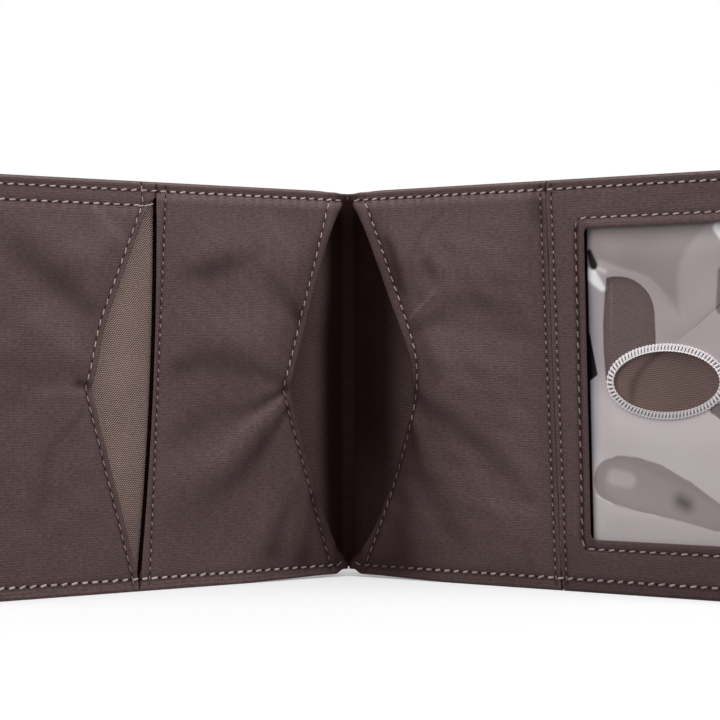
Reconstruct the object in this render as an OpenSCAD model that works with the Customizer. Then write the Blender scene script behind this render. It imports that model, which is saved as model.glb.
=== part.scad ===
// Bifold wallet of thin nylon, standing half open on its lower edge.
// Millimetres, +Z up, reader on the -Y side. Each half folds about one long edge of the spine.

/* [Wallet] */
// Height of the wallet
wallet_h = 95; // [92:0.5:110]
// Width of each half from its fold line to its outer edge
half_w = 113; // [110:0.5:125]
// Angle between the halves as the wallet stands
open_angle = 115; // [100:1:160]
// Radius of the outer corners
corner_r = 3; // [1:0.5:4]
// Height of the spine's lower edge above the ground
spine_lift = 1.2; // [0.5:0.1:3]
// Depth of the loop that the cover makes behind the fold lines
spine_bulge = 2.6; // [1.5:0.1:4]

/* [Cloth] */
// Thickness of the pocket, lining and inner wall cloth
ply = 0.3; // [0.2:0.05:0.4]
// Thickness of the cover cloth
cover_ply = 0.4; // [0.3:0.05:0.6]
// Gap between plies that lie on each other
ply_gap = 0.05; // [0.03:0.01:0.1]
// Depth of each card pocket
card_gap = 1.2; // [1.15:0.05:2]
// Depth of the note compartment
note_gap = 1.2; // [0.9:0.1:2.5]
// Gap between the facing pockets when the wallet is shut
shut_gap = 1.1; // [1:0.05:2]
// Gap round the rounded edges of the spine
fold_clear = 0.1; // [0.05:0.05:0.2]
// Gap between the inner cloth and the spine's inner cloth
spine_clear = 0.3; // [0.3:0.05:0.6]
// Width of the cloth turned under along an edge
hem_w = 4; // [3:0.25:4.5]

/* [Pockets] */
// Distance of the pocket lips from the fold line
lip_u = 0.7; // [0.6:0.1:1.5]
// Depth of the notch in each pocket lip
notch_d = 13.6; // [8:0.2:18]
// Height of the left inner pocket's notch tip above mid-height
left_inner_rise = -1.8; // [-8:0.1:8]
// Height of the left outer pocket's notch tip above mid-height
left_outer_rise = -1; // [-8:0.1:8]
// Height of the right inner pocket's notch tip above mid-height
right_inner_rise = 3.1; // [-8:0.1:8]
// Tip radius of the two left notches
left_tip_r = 2; // [1:0.5:10]
// Tip radius of the right notch, which has rolled open
right_tip_r = 14; // [2:1:30]
// Distance of the left seam from the fold line at the lower edge
left_seam_low = 55.2; // [53:0.2:57]
// Distance of the left seam from the fold line at the upper edge
left_seam_high = 50.5; // [48:0.2:54]
// Distance of the right seam from the fold line at the lower edge
right_seam_low = 56.6; // [54:0.2:57]
// Distance of the right seam from the fold line at the upper edge
right_seam_high = 52.6; // [50:0.2:55]
// Width of the slit between two pockets
slit_w = 0.8; // [0.4:0.1:1.2]

/* [Card window] */
// Distance of the window from the right seam at the lower edge
window_in_low = 8.2; // [8:0.1:10]
// Distance of the window from the right seam at the upper edge
window_in_high = 10.1; // [8:0.1:12]
// Width of the frame between the window and the outer edge
window_out = 11.3; // [9:0.1:14]
// Width of the frame above and below the window
window_edge = 11.4; // [9:0.1:14]
// Corner radius of the window
window_r = 1.6; // [1:0.1:3]
// Thickness of the clear sheet
vinyl_t = 0.25; // [0.2:0.05:0.3]
// Width of the clear sheet behind the frame
vinyl_lap = 3.4; // [2:0.1:3.6]

/* [Thumb hole] */
// Height of the hole's centre above mid-height
hole_rise = 0.7; // [-10:0.1:10]
// Distance of the hole from each side of the window
hole_in = 6; // [4:0.1:10]
// Half of the hole's height
hole_b = 6.9; // [5:0.1:9]
// Width of the thread binding round the hole
binding_w = 1.7; // [1.2:0.1:2.5]
// Thickness of the binding on each face of the clear sheet
binding_t = 0.12; // [0.08:0.01:0.15]
// Number of thread wraps round the hole
wraps = 84; // [48:4:96]

/* [Stitches] */
// Length of one stitch and the gap after it
stitch_pitch = 2.55; // [2:0.05:4]
// Length of the thread seen in one stitch
stitch_len = 1.75; // [1.2:0.05:1.9]
// Width of the thread
thread_w = 0.45; // [0.3:0.05:0.6]
// Height of a stitch above the cloth
thread_h = 0.2; // [0.1:0.02:0.3]
// Distance of the border stitches from the edge
border_in = 2; // [1.5:0.1:2.5]
// Distance of the second row of the left outer pocket from the upper edge
second_in = 5.5; // [5:0.1:8]
// Distance of the lip stitches from the lip
lip_in = 2; // [1.5:0.1:3]
// Distance of the left seam stitches from the slit
seam_in = 2.1; // [1.5:0.1:3]
// Distance of each row of the right seam from the seam
double_in = 1.4; // [1:0.1:2]
// Distance of the window stitches from the window
window_in = 2.3; // [1.5:0.1:3]
// Distance that a row ends short of one it would cross
row_end = 0.8; // [0.6:0.1:1.5]

/* [Hidden] */
$fn = 64;
fold_a = (180 - open_angle) / 2;
// depths are counted from the middle of the cover towards the reader
wall_d = cover_ply / 2 + note_gap;
lining_d = wall_d + ply + ply_gap;
pocket_d = lining_d + ply + card_gap;
face_d = pocket_d + ply;
vinyl_d = pocket_d - ply_gap - vinyl_t;
spine_w = 2 * face_d + shut_gap;
axis_y = (half_w * sin(fold_a) + face_d * cos(fold_a) - spine_bulge - cover_ply / 2) / 2;
cover_start = cover_ply / 2 + fold_clear;
inner_start = cover_start + spine_clear;
card_hem_t = card_gap - 2 * ply_gap;
note_hem_t = note_gap - 2 * ply_gap;
inner_low = hem_w + ply_gap;
inner_high = wallet_h - inner_low;
top_row = wallet_h - border_in;
side_row = half_w - border_in;
left_inner_tip_z = wallet_h / 2 + left_inner_rise;
left_outer_tip_z = wallet_h / 2 + left_outer_rise;
right_inner_tip_z = wallet_h / 2 + right_inner_rise;
window_right = half_w - window_out;
window_top = wallet_h - window_edge;
spine_h = wallet_h - 2 * spine_lift;
spine_r = (spine_w * spine_w / 4 + spine_bulge * spine_bulge) / (2 * spine_bulge);
spine_y = spine_bulge - spine_r;
spine_hem_r = spine_r - cover_ply / 2 - ply_gap - ply / 2;
trough_mouth_x = spine_w / 2 + inner_start * cos(fold_a) - wall_d * sin(fold_a) - spine_clear - ply / 2;
trough_mouth_y = inner_start * sin(fold_a) + wall_d * cos(fold_a);
trough_depth = spine_bulge - cover_ply / 2 - 2 * ply_gap - 1.5 * ply + trough_mouth_y;
trough_r = (trough_mouth_x * trough_mouth_x + trough_depth * trough_depth) / (2 * trough_depth);
trough_y = trough_depth - trough_mouth_y - trough_r;
hole_z = wallet_h / 2 + hole_rise;
hole_u = (window_left(hole_z) + window_right) / 2;
hole_a = (window_right - window_left(hole_z)) / 2 - hole_in;
binding_d = vinyl_d - ply_gap - binding_t;
binding_all = vinyl_t + 2 * (ply_gap + binding_t);
binding_lap = 0.3;
thread_base = 0.04;
stitch_ramp = 0.3;
cloth_brown = [0.32, 0.26, 0.26];
lining_brown = [0.42, 0.35, 0.33];
thread_beige = [0.72, 0.65, 0.64];
binding_white = [0.85, 0.83, 0.84];
clear_grey = [0.8, 0.8, 0.82, 0.35];

// distance from the fold line of a slanted line, at height z
function slant(z, low, high) = low + (high - low) * z / wallet_h;
function left_seam(z) = slant(z, left_seam_low, left_seam_high);
function right_seam(z) = slant(z, right_seam_low, right_seam_high);
function window_left(z) = right_seam(z) + slant(z, window_in_low, window_in_high);
function arc_points(centre, r, from, to, steps) =
    [for (i = [0:steps]) centre + r * [cos(from + (to - from) * i / steps),
                                       sin(from + (to - from) * i / steps)]];
// notch in a lip, from its upper to its lower end, with a round tip
function notch_points(u_high, u_low, tip_u, tip_z, r) =
    let (rise = atan2(tip_u - u_high, wallet_h - tip_z),
         fall = atan2(tip_u - u_low, tip_z),
         centre = [tip_u - r / cos((rise + fall) / 2), tip_z])
    concat([[u_high, wallet_h]], arc_points(centre, r, rise, -fall, 8), [[u_low, 0]]);
function ellipse_point(grow, a) = [hole_u + (hole_a + grow) * cos(a), hole_z + (hole_b + grow) * sin(a)];
function ellipse_points(grow) = [for (i = [0:wraps - 1]) ellipse_point(grow, 360 * i / wraps)];

module right_half() {
    translate([spine_w / 2, axis_y, 0]) rotate([0, 0, -fold_a]) children();
}

module left_half() {
    mirror([1, 0, 0]) right_half() children();
}

// lays a flat drawing on a half at a depth
module at_depth(depth) {
    translate([0, -depth, 0]) rotate([90, 0, 0]) children();
}

module sheet(depth, thick) {
    at_depth(depth) linear_extrude(thick) children();
}

// outline of a half from a start distance to its rounded outer corners
module half_outline(start) {
    translate([start, 0]) square([half_w - corner_r - start, wallet_h]);
    translate([start, corner_r]) square([half_w - start, wallet_h - 2 * corner_r]);
    for (z = [corner_r, wallet_h - corner_r]) translate([half_w - corner_r, z]) circle(corner_r);
}

module low_band() {
    square([half_w, hem_w]);
}

module edge_bands() {
    low_band();
    translate([0, wallet_h - hem_w]) square([half_w, hem_w]);
}

// upright band along a slanted line, between the upper and lower hems
module upright_band(low, high, from, to) {
    polygon([
        [slant(inner_low, low, high) + from, inner_low],
        [slant(inner_low, low, high) + to, inner_low],
        [slant(inner_high, low, high) + to, inner_high],
        [slant(inner_high, low, high) + from, inner_high]
    ]);
}

// stack of turned cloth along the upper and lower edges of a pocket
module card_hems() {
    sheet(lining_d + ply + ply_gap, card_hem_t) intersection() {
        children();
        edge_bands();
    }
}

// stack of turned cloth along the closed end of a pocket
module end_hem(low, high, from, to) {
    sheet(lining_d + ply + ply_gap, card_hem_t) upright_band(low, high, from, to);
}

// single ply turned under along an open edge of a pocket
module lip_hem() {
    sheet(pocket_d - ply_gap - ply, ply) intersection() {
        children();
        translate([0, inner_low]) square([half_w, inner_high - inner_low]);
    }
}

// one straight row of thread between two points of a half
module thread_row(from, to) {
    run = norm(to - from);
    count = max(1, round(run / stitch_pitch));
    step = run / count;
    seen = min(stitch_len, step - 2 * stitch_ramp);
    start = (step - seen) / 2;
    bumps = [for (i = [0:count - 1]) for (p = [
        [start, thread_base], [start + stitch_ramp, thread_h],
        [start + seen - stitch_ramp, thread_h], [start + seen, thread_base]
    ]) [i * step + p[0], p[1]]];
    translate(from) rotate([0, 0, atan2(to[1] - from[1], to[0] - from[0])])
        translate([0, thread_w / 2, 0]) rotate([90, 0, 0]) linear_extrude(thread_w)
            polygon(concat([[0, 0], [0, thread_base]], bumps, [[run, thread_base], [run, 0]]));
}

// two rows of thread along a notched lip
module lip_rows(u_high, u_low, tip_u, tip_z) {
    low = border_in + row_end;
    high = wallet_h - low;
    high_u = u_high + (tip_u - u_high) * (wallet_h - high) / (wallet_h - tip_z);
    low_u = u_low + (tip_u - u_low) * low / tip_z;
    thread_row([high_u, high], [tip_u, tip_z + thread_w / 2]);
    thread_row([tip_u, tip_z - thread_w / 2], [low_u, low]);
}

module cover_half() {
    sheet(-cover_ply / 2, cover_ply) half_outline(cover_start);
    sheet(cover_ply / 2 + ply_gap, note_hem_t) intersection() {
        half_outline(inner_start);
        low_band();
    }
    sheet(cover_ply / 2 + ply_gap, note_hem_t) intersection() {
        half_outline(inner_start);
        translate([half_w - hem_w, inner_low]) square([hem_w, wallet_h - inner_low]);
    }
}

// rows of thread on the outside of a half of the cover
module cover_rows() {
    at_depth(-cover_ply / 2) mirror([0, 0, 1]) {
        thread_row([lip_u + border_in, border_in], [side_row - row_end, border_in]);
        thread_row([lip_u + border_in, top_row], [side_row - row_end, top_row]);
        thread_row([side_row, border_in], [side_row, top_row]);
    }
}

module cover_left() {
    color(cloth_brown) left_half() cover_half();
}

module cover_right() {
    color(cloth_brown) right_half() cover_half();
}

// part of a ring, behind a line across the spine
module spine_arch(middle_y, r, thick, from_y) {
    intersection() {
        translate([0, middle_y]) difference() {
            circle(r + thick / 2);
            circle(r - thick / 2);
        }
        translate([-spine_w, from_y]) square([2 * spine_w, spine_w + spine_bulge]);
    }
}

// loop of cover between the two folds, with round edges on the fold lines
module cover_spine() {
    color(cloth_brown) translate([0, axis_y, spine_lift]) {
        linear_extrude(spine_h) {
            spine_arch(spine_y, spine_r, cover_ply, 0);
            for (side = [-1, 1]) translate([side * spine_w / 2, 0]) circle(cover_ply / 2);
        }
        linear_extrude(hem_w) spine_arch(spine_y, spine_hem_r, ply, 0);
    }
}

module inner_wall_left() {
    color(cloth_brown) left_half() sheet(wall_d, ply) half_outline(inner_start);
}

module inner_wall_right() {
    color(cloth_brown) right_half() sheet(wall_d, ply) half_outline(inner_start);
}

// trough that carries the inner wall across the spine
module inner_spine() {
    color(cloth_brown) translate([0, axis_y, spine_lift])
        linear_extrude(spine_h) spine_arch(trough_y, trough_r, ply, -trough_mouth_y);
}

module left_inner_lining() {
    color(lining_brown) left_half() sheet(lining_d, ply) polygon([
        [inner_start, 0], [left_seam(0) - slit_w / 2, 0],
        [left_seam(wallet_h) - slit_w / 2, wallet_h], [inner_start, wallet_h]
    ]);
}

module left_inner_outline() {
    polygon(concat(
        notch_points(lip_u, lip_u, lip_u + notch_d, left_inner_tip_z, left_tip_r),
        [[left_seam(0) - slit_w / 2, 0], [left_seam(wallet_h) - slit_w / 2, wallet_h]]
    ));
}

module left_inner_pocket() {
    color(cloth_brown) left_half() {
        sheet(pocket_d, ply) left_inner_outline();
        card_hems() left_inner_outline();
        end_hem(left_seam_low, left_seam_high, -slit_w / 2 - hem_w, -slit_w / 2);
        lip_hem() difference() {
            left_inner_outline();
            translate([hem_w, 0]) left_inner_outline();
            translate([lip_u + notch_d + hem_w, 0]) square([half_w, wallet_h]);
        }
    }
}

module left_outer_lining() {
    color(lining_brown) left_half() sheet(lining_d, ply) intersection() {
        half_outline(inner_start);
        polygon([
            [left_seam(0) + slit_w / 2, 0], [half_w, 0],
            [half_w, wallet_h], [left_seam(wallet_h) + slit_w / 2, wallet_h]
        ]);
    }
}

module left_outer_outline() {
    intersection() {
        half_outline(inner_start);
        polygon(concat(
            notch_points(left_seam(wallet_h) + slit_w / 2, left_seam(0) + slit_w / 2,
                left_seam(left_outer_tip_z) + slit_w / 2 + notch_d, left_outer_tip_z, left_tip_r),
            [[half_w, 0], [half_w, wallet_h]]
        ));
    }
}

module left_outer_pocket() {
    color(cloth_brown) left_half() {
        sheet(pocket_d, ply) left_outer_outline();
        card_hems() left_outer_outline();
        end_hem(half_w, half_w, -hem_w, 0);
        lip_hem() difference() {
            left_outer_outline();
            translate([hem_w, 0]) left_outer_outline();
            translate([left_seam(left_outer_tip_z) + notch_d + hem_w, 0]) square([half_w, wallet_h]);
        }
    }
}

module right_inner_lining() {
    color(lining_brown) right_half() sheet(lining_d, ply) polygon([
        [inner_start, 0], [right_seam(0) - ply_gap, 0],
        [right_seam(wallet_h) - ply_gap, wallet_h], [inner_start, wallet_h]
    ]);
}

module right_inner_outline() {
    polygon(concat(
        notch_points(lip_u, lip_u, lip_u + notch_d, right_inner_tip_z, right_tip_r),
        [[right_seam(0) - ply_gap, 0], [right_seam(wallet_h) - ply_gap, wallet_h]]
    ));
}

module right_inner_pocket() {
    color(cloth_brown) right_half() {
        sheet(pocket_d, ply) right_inner_outline();
        card_hems() right_inner_outline();
        end_hem(right_seam_low, right_seam_high, -ply_gap - hem_w, -ply_gap);
        lip_hem() difference() {
            right_inner_outline();
            translate([hem_w, 0]) right_inner_outline();
            translate([lip_u + notch_d + hem_w, 0]) square([half_w, wallet_h]);
        }
    }
}

module id_outline() {
    intersection() {
        half_outline(inner_start);
        polygon([
            [right_seam(0) + ply_gap, 0], [half_w, 0],
            [half_w, wallet_h], [right_seam(wallet_h) + ply_gap, wallet_h]
        ]);
    }
}

// window with round corners, grown by a margin
module window_outline(grow) {
    low = window_edge - grow;
    high = window_top + grow;
    right = window_right + grow;
    polygon(concat(
        arc_points([window_left(low) - grow + window_r, low + window_r], window_r, 180, 270, 6),
        arc_points([right - window_r, low + window_r], window_r, 270, 360, 6),
        arc_points([right - window_r, high - window_r], window_r, 0, 90, 6),
        arc_points([window_left(high) - grow + window_r, high - window_r], window_r, 90, 180, 6)
    ));
}

module id_lining() {
    color(lining_brown) right_half() sheet(lining_d, ply) id_outline();
}

module id_window() {
    color(clear_grey) right_half() sheet(vinyl_d, vinyl_t) difference() {
        window_outline(vinyl_lap);
        polygon(ellipse_points(binding_lap));
    }
}

// overlock thread that covers the edge of the thumb hole on both faces
module thumb_hole_binding() {
    color(binding_white) right_half() {
        for (d = [binding_d, vinyl_d + vinyl_t + ply_gap]) sheet(d, binding_t) difference() {
            polygon(ellipse_points(binding_w));
            polygon(ellipse_points(0));
        }
        sheet(binding_d, binding_all) difference() {
            polygon(ellipse_points(binding_lap - ply_gap));
            polygon(ellipse_points(0));
        }
        sheet(binding_d + binding_all, binding_t) for (i = [0:wraps - 1]) polygon([
            ellipse_point(0, 360 * (i + 0.2) / wraps),
            ellipse_point(0, 360 * (i + 0.8) / wraps),
            ellipse_point(binding_w, 360 * (i + 0.8) / wraps),
            ellipse_point(binding_w, 360 * (i + 0.2) / wraps)
        ]);
    }
}

module id_frame() {
    color(cloth_brown) right_half() {
        sheet(pocket_d, ply) difference() {
            id_outline();
            window_outline(0);
        }
        card_hems() id_outline();
        end_hem(right_seam_low, right_seam_high, ply_gap, ply_gap + hem_w);
        lip_hem() intersection() {
            half_outline(inner_start);
            translate([half_w - hem_w, 0]) square([hem_w, wallet_h]);
        }
    }
}

module cover_left_stitches() {
    color(thread_beige) left_half() cover_rows();
}

module cover_right_stitches() {
    color(thread_beige) right_half() cover_rows();
}

// upper, lower and outer rows of thread on the pockets of a half
module border_rows() {
    at_depth(face_d) {
        thread_row([lip_u + row_end, border_in], [side_row - row_end, border_in]);
        thread_row([lip_u + row_end, top_row], [side_row - row_end, top_row]);
        thread_row([side_row, border_in], [side_row, top_row]);
    }
}

module left_border_stitches() {
    color(thread_beige) left_half() border_rows();
}

module left_second_stitches() {
    z = wallet_h - second_in;
    tip_u = left_seam(left_outer_tip_z) + notch_d;
    start = left_seam(wallet_h) + (tip_u - left_seam(wallet_h)) * second_in / (wallet_h - left_outer_tip_z);
    color(thread_beige) left_half() at_depth(face_d)
        thread_row([start + slit_w / 2 + lip_in + row_end, z], [side_row - row_end, z]);
}

module left_inner_lip_stitches() {
    color(thread_beige) left_half() at_depth(face_d)
        lip_rows(lip_u + lip_in, lip_u + lip_in, lip_u + notch_d + lip_in, left_inner_tip_z);
}

module left_outer_lip_stitches() {
    shift = slit_w / 2 + lip_in;
    color(thread_beige) left_half() at_depth(face_d)
        lip_rows(left_seam(wallet_h) + shift, left_seam(0) + shift,
            left_seam(left_outer_tip_z) + notch_d + shift, left_outer_tip_z);
}

// row of thread beside a slanted seam
module seam_row(low, high, shift) {
    end = border_in + row_end;
    thread_row([slant(end, low, high) + shift, end],
        [slant(wallet_h - end, low, high) + shift, wallet_h - end]);
}

module left_seam_stitches() {
    color(thread_beige) left_half() at_depth(face_d)
        seam_row(left_seam_low, left_seam_high, -slit_w / 2 - seam_in);
}

module right_border_stitches() {
    color(thread_beige) right_half() border_rows();
}

module right_inner_lip_stitches() {
    color(thread_beige) right_half() at_depth(face_d)
        lip_rows(lip_u + lip_in, lip_u + lip_in, lip_u + notch_d + lip_in, right_inner_tip_z);
}

module right_seam_stitches() {
    color(thread_beige) right_half() at_depth(face_d)
        for (shift = [-double_in, double_in]) seam_row(right_seam_low, right_seam_high, shift);
}

module window_stitches() {
    low = window_edge - window_in;
    high = window_top + window_in;
    right = window_right + window_in;
    color(thread_beige) right_half() at_depth(face_d) {
        thread_row([window_left(low) - window_in + row_end, low], [right - row_end, low]);
        thread_row([right, low], [right, high]);
        thread_row([right - row_end, high], [window_left(high) - window_in + row_end, high]);
        thread_row([window_left(high) - window_in, high], [window_left(low) - window_in, low]);
    }
}

cover_left();
cover_spine();
cover_right();
inner_wall_left();
inner_spine();
inner_wall_right();
left_inner_lining();
left_inner_pocket();
left_outer_lining();
left_outer_pocket();
right_inner_lining();
right_inner_pocket();
id_lining();
id_window();
thumb_hole_binding();
id_frame();
cover_left_stitches();
cover_right_stitches();
left_border_stitches();
left_second_stitches();
left_inner_lip_stitches();
left_outer_lip_stitches();
left_seam_stitches();
right_border_stitches();
right_inner_lip_stitches();
right_seam_stitches();
window_stitches();
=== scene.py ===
import math

import bpy
import numpy as np
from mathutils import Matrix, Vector


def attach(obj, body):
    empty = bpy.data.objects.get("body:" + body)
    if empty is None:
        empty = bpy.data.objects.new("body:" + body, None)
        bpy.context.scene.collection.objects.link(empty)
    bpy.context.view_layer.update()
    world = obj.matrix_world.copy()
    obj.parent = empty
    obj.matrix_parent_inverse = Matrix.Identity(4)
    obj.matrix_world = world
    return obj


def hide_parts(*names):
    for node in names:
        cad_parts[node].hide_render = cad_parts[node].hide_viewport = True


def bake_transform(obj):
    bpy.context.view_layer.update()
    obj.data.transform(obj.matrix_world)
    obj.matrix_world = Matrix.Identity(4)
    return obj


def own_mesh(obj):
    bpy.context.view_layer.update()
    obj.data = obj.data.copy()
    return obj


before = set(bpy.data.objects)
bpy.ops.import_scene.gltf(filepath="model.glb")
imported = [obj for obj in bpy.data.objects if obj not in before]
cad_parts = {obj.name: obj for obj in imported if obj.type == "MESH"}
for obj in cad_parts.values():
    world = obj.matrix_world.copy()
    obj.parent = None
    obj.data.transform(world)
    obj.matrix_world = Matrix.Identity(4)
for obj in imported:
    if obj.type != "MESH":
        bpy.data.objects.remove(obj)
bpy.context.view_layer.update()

# Cover
# The outer shell is one plain nylon cloth that bends round the spine. Each half is a single ply of the full
# height, without the solids' turned-in edges, and in the middle it makes a loop behind the two fold lines.

half_w, tall = 113.0, 95.0
fold_lean = math.radians(32.5)
fold_x, fold_y = 4.1, 30.4544
corner_r = 3.0
lower_band, lower_rise = 1.0, 0.65
band_z, rise_u = 2.4, 28.0
drawn_low, drawn_top = 1.1, 0.25
drawn_u, drawn_run = 0.9, 2.2
lean_cos, lean_sin = math.cos(fold_lean), math.sin(fold_lean)
halves = ((-1, "left"), (1, "right"))


def smooth(x):
    """0 below 0, 1 above 1, and a soft step between."""
    x = np.clip(x, 0, 1)
    return x * x * (3 - 2 * x)


def on_half(side, u, depth, z):
    """Metres, for millimetres out from a fold line, in front of the cover's middle, and up.
    The lower band is the wider one, and the border rows draw every cloth in across the spine."""
    u, depth, z = np.broadcast_arrays(u, depth, z)
    sewn = smooth(z / band_z)
    z = z + lower_band * sewn + lower_rise * (1 - smooth(u / rise_u)) * (1 - sewn)
    x = side * (fold_x + u * lean_cos - depth * lean_sin)
    y = fold_y - u * lean_sin - depth * lean_cos
    drawn = drawn_low - (drawn_low + drawn_top) * z / tall
    return np.stack([x, y, z + drawn * smooth((drawn_u - u) / drawn_run)], -1) / 1000


def body_of(side):
    return "right_half" if side > 0 else "left_half"


def spine_point(back):
    """Where a cloth that loops this far behind the fold lines crosses the middle, as (u, depth) of a half."""
    return -fold_x * lean_cos - back * lean_sin, fold_x * lean_sin - back * lean_cos


def looped(u, flat_depth, back):
    """Depth of a cloth that lies flat on a half and leaves it near the spine to loop behind the folds."""
    middle_u, middle_depth = spine_point(back)
    span = fold_start_u - middle_u
    s = np.minimum((u - middle_u) / span, 1)
    stays = 2 * s**3 - 3 * s**2 + 1
    tilts = s**3 - 2 * s**2 + s
    return flat_depth + (middle_depth - flat_depth) * stays - math.tan(fold_lean) * span * tilts


def crowded(length, step):
    """Grid lines from 0 to length, close together at both ends so that a rolled edge comes out round."""
    rim = np.array([0, 0.05, 0.16, 0.33, 0.6])
    middle = np.linspace(rim[-1], length - rim[-1], max(3, int(length / step)))[1:-1]
    return np.concatenate([rim, middle, length - rim[::-1]])


def cloth_object(name, points, flat, faces, finish, shade=None):
    """A mesh with its cloth's own flat coordinates, in millimetres, kept for the weave."""
    mesh = bpy.data.meshes.new(name)
    mesh.from_pydata(points.tolist(), [], faces)
    mesh.polygons.foreach_set("use_smooth", [True] * len(mesh.polygons))
    corners = np.empty(len(mesh.loops), int)
    mesh.loops.foreach_get("vertex_index", corners)
    weave = mesh.uv_layers.new(name="weave")
    weave.data.foreach_set("uv", np.asarray(flat, np.float32)[corners].ravel())
    # The shade kept on the points is painted light and shade.
    if shade is not None:
        painted_shade = mesh.attributes.new("shade", "FLOAT", "POINT")
        painted_shade.data.foreach_set("value", np.asarray(shade, np.float32))
    mesh.materials.append(finish)
    piece = bpy.data.objects.new(name, mesh)
    bpy.context.collection.objects.link(piece)
    return piece


def ply(name, side, u, z, edge, roll, rim, front, back, finish, shade=None, closed=False):
    """A thin cloth over a grid of places, with a front and a back depth that meet in a roll at its rim."""
    rise = np.sqrt(1 - (1 - np.clip(edge / roll, 0, 1)) ** 2)
    front_d, back_d = front(u, z), back(u, z)
    middle = (front_d + back_d) / 2
    inside = ~rim
    front_id = np.arange(u.size).reshape(u.shape)
    back_id = front_id.copy()
    back_id[inside] = u.size + np.arange(np.count_nonzero(inside))
    faces = []
    for ids, turned in ((front_id, (side < 0) != closed), (back_id, (side > 0) != closed)):
        if closed:
            ids = np.concatenate([ids, ids[:, :1]], 1)
        quads = np.stack([ids[:-1, :-1], ids[:-1, 1:], ids[1:, 1:], ids[1:, :-1]], -1).reshape(-1, 4)
        faces += (quads[:, ::-1] if turned else quads).tolist()

    facing = on_half(side, u, middle + (front_d - middle) * rise, z)
    behind = on_half(side, u, middle + (back_d - middle) * rise, z)
    flat = np.stack([u, z], -1)
    painted_shade = None
    if shade is not None:
        painted_shade = shade(u, z)
        painted_shade = np.concatenate([painted_shade.ravel(), painted_shade[inside]])
    return cloth_object(name, np.concatenate([facing.reshape(-1, 3), behind[inside]]),
                        np.concatenate([flat.reshape(-1, 2), flat[inside]]), faces, finish, painted_shade)


def sewn_cloth(name, side, near_edge, far_edge, front, back, finish, step=0.7, low=0.0, high=tall,
               roll=0.5, shade=None, open_inner=False):
    """A cloth between two edges that run up a half."""
    z = low + crowded(high - low, step)
    near, far = near_edge(z)[:, None], far_edge(z)[:, None]
    widest = float(np.max(far - near))
    share = crowded(widest, step) / widest
    u = near + (far - near) * share[None, :]
    z = np.repeat(z[:, None], len(share), 1)
    edge = np.minimum(np.minimum(z - low, high - z), far - u)
    if not open_inner:
        edge = np.minimum(edge, u - near)
    rim = np.zeros(u.shape, bool)
    rim[[0, -1], :] = rim[:, [0, -1]] = True
    return ply(name, side, u, z, edge, roll, rim, front, back, finish, shade)


def plies(middle, thick):
    """Front and back depth of a cloth about its middle."""
    return lambda u, z: middle(u, z) + thick / 2, lambda u, z: middle(u, z) - thick / 2


def outer_end(z):
    """The outer edge of a half, with its rounded corners."""
    near_end = np.clip(corner_r - np.minimum(z, tall - z), 0, corner_r)
    return half_w - (corner_r - np.sqrt(corner_r**2 - near_end**2))


class Wire:
    """A value on its way through a finish: sums and products of it add Math nodes."""

    def __init__(self, finish, socket):
        self.finish, self.socket = finish, socket

    def __add__(self, other):
        return self.finish.math("ADD", self, other)

    def __sub__(self, other):
        return self.finish.math("SUBTRACT", self, other)

    def __rsub__(self, other):
        return self.finish.math("SUBTRACT", other, self)

    def __mul__(self, other):
        return self.finish.math("MULTIPLY", self, other)

    def __truediv__(self, other):
        return self.finish.math("DIVIDE", self, other)

    def __rtruediv__(self, other):
        return self.finish.math("DIVIDE", other, self)

    def __pow__(self, other):
        return self.finish.math("POWER", self, other)

    def __rpow__(self, other):
        return self.finish.math("POWER", other, self)

    __radd__, __rmul__ = __add__, __mul__


class Finish:
    """The nodes of a material, or of the light round the table."""

    def __init__(self, owner):
        owner.use_nodes = True
        self.owner, self.nodes, self.links = owner, owner.node_tree.nodes, owner.node_tree.links

    def feed(self, sockets, values):
        for key, value in values.items():
            if isinstance(value, Wire):
                self.links.new(value.socket, sockets[key])
            else:
                sockets[key].default_value = value

    def node(self, kind, settings=None, values=None, out=0):
        """A node of a kind, with its settings, then its sockets' values or wires; gives one output's wire."""
        made = self.nodes.new(kind)
        for key, value in (settings or {}).items():
            setattr(made, key, value)
        self.feed(made.inputs, values or {})
        return Wire(self, made.outputs[out])

    def surface(self, values):
        """Feeds the material's own shader, and gives the material."""
        self.feed(self.nodes["Principled BSDF"].inputs, values)
        return self.owner

    def math(self, operation, *values):
        return self.node("ShaderNodeMath", {"operation": operation}, dict(enumerate(values)))

    def most(self, first, *others):
        """The largest of several values."""
        for other in others:
            first = self.math("MAXIMUM", first, other)
        return first

    def flat_place(self):
        """The cloth's own flat coordinates in millimetres: as a place, along the half, and up."""
        place = self.node("ShaderNodeUVMap", {"uv_map": "weave"})
        return place, *(self.node("ShaderNodeSeparateXYZ", values={0: place}, out=axis) for axis in (0, 1))

    def painted_shade(self):
        """The painted shade kept on the cloth's points."""
        return self.node("ShaderNodeAttribute", {"attribute_name": "shade"}, out=2)

    def tint(self, factor, plain, tinted):
        """One colour turning into another as the factor goes from 0 to 1."""
        return self.node("ShaderNodeMix", {"data_type": "RGBA"}, {0: factor, 6: plain, 7: tinted}, out=2)

    def patches(self, place, size, detail=2.0, rough=0.5, stretch=(1, 1, 1)):
        """Smooth random patches about as large as the size in millimetres."""
        stretched = self.node("ShaderNodeVectorMath", {"operation": "MULTIPLY"}, {0: place, 1: stretch})
        return self.node("ShaderNodeTexNoise", values={
            "Vector": stretched, "Scale": 1 / size, "Detail": detail, "Roughness": rough})

    def ridges(self, along, period):
        """A smooth wave from 0 to 1."""
        return self.math("SINE", along * (2 * math.pi / period)) * 0.5 + 0.5

    def relief(self, height, strength, distance):
        return self.node("ShaderNodeBump", values={
            "Strength": strength, "Distance": distance, "Height": height})

    def step(self, value, low, high):
        """A soft step of a value, from 0 at one limit to 1 at the other."""
        return self.node("ShaderNodeMapRange", {"interpolation_type": "SMOOTHSTEP"}, {
            "Value": value, "From Min": low, "From Max": high})


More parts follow.
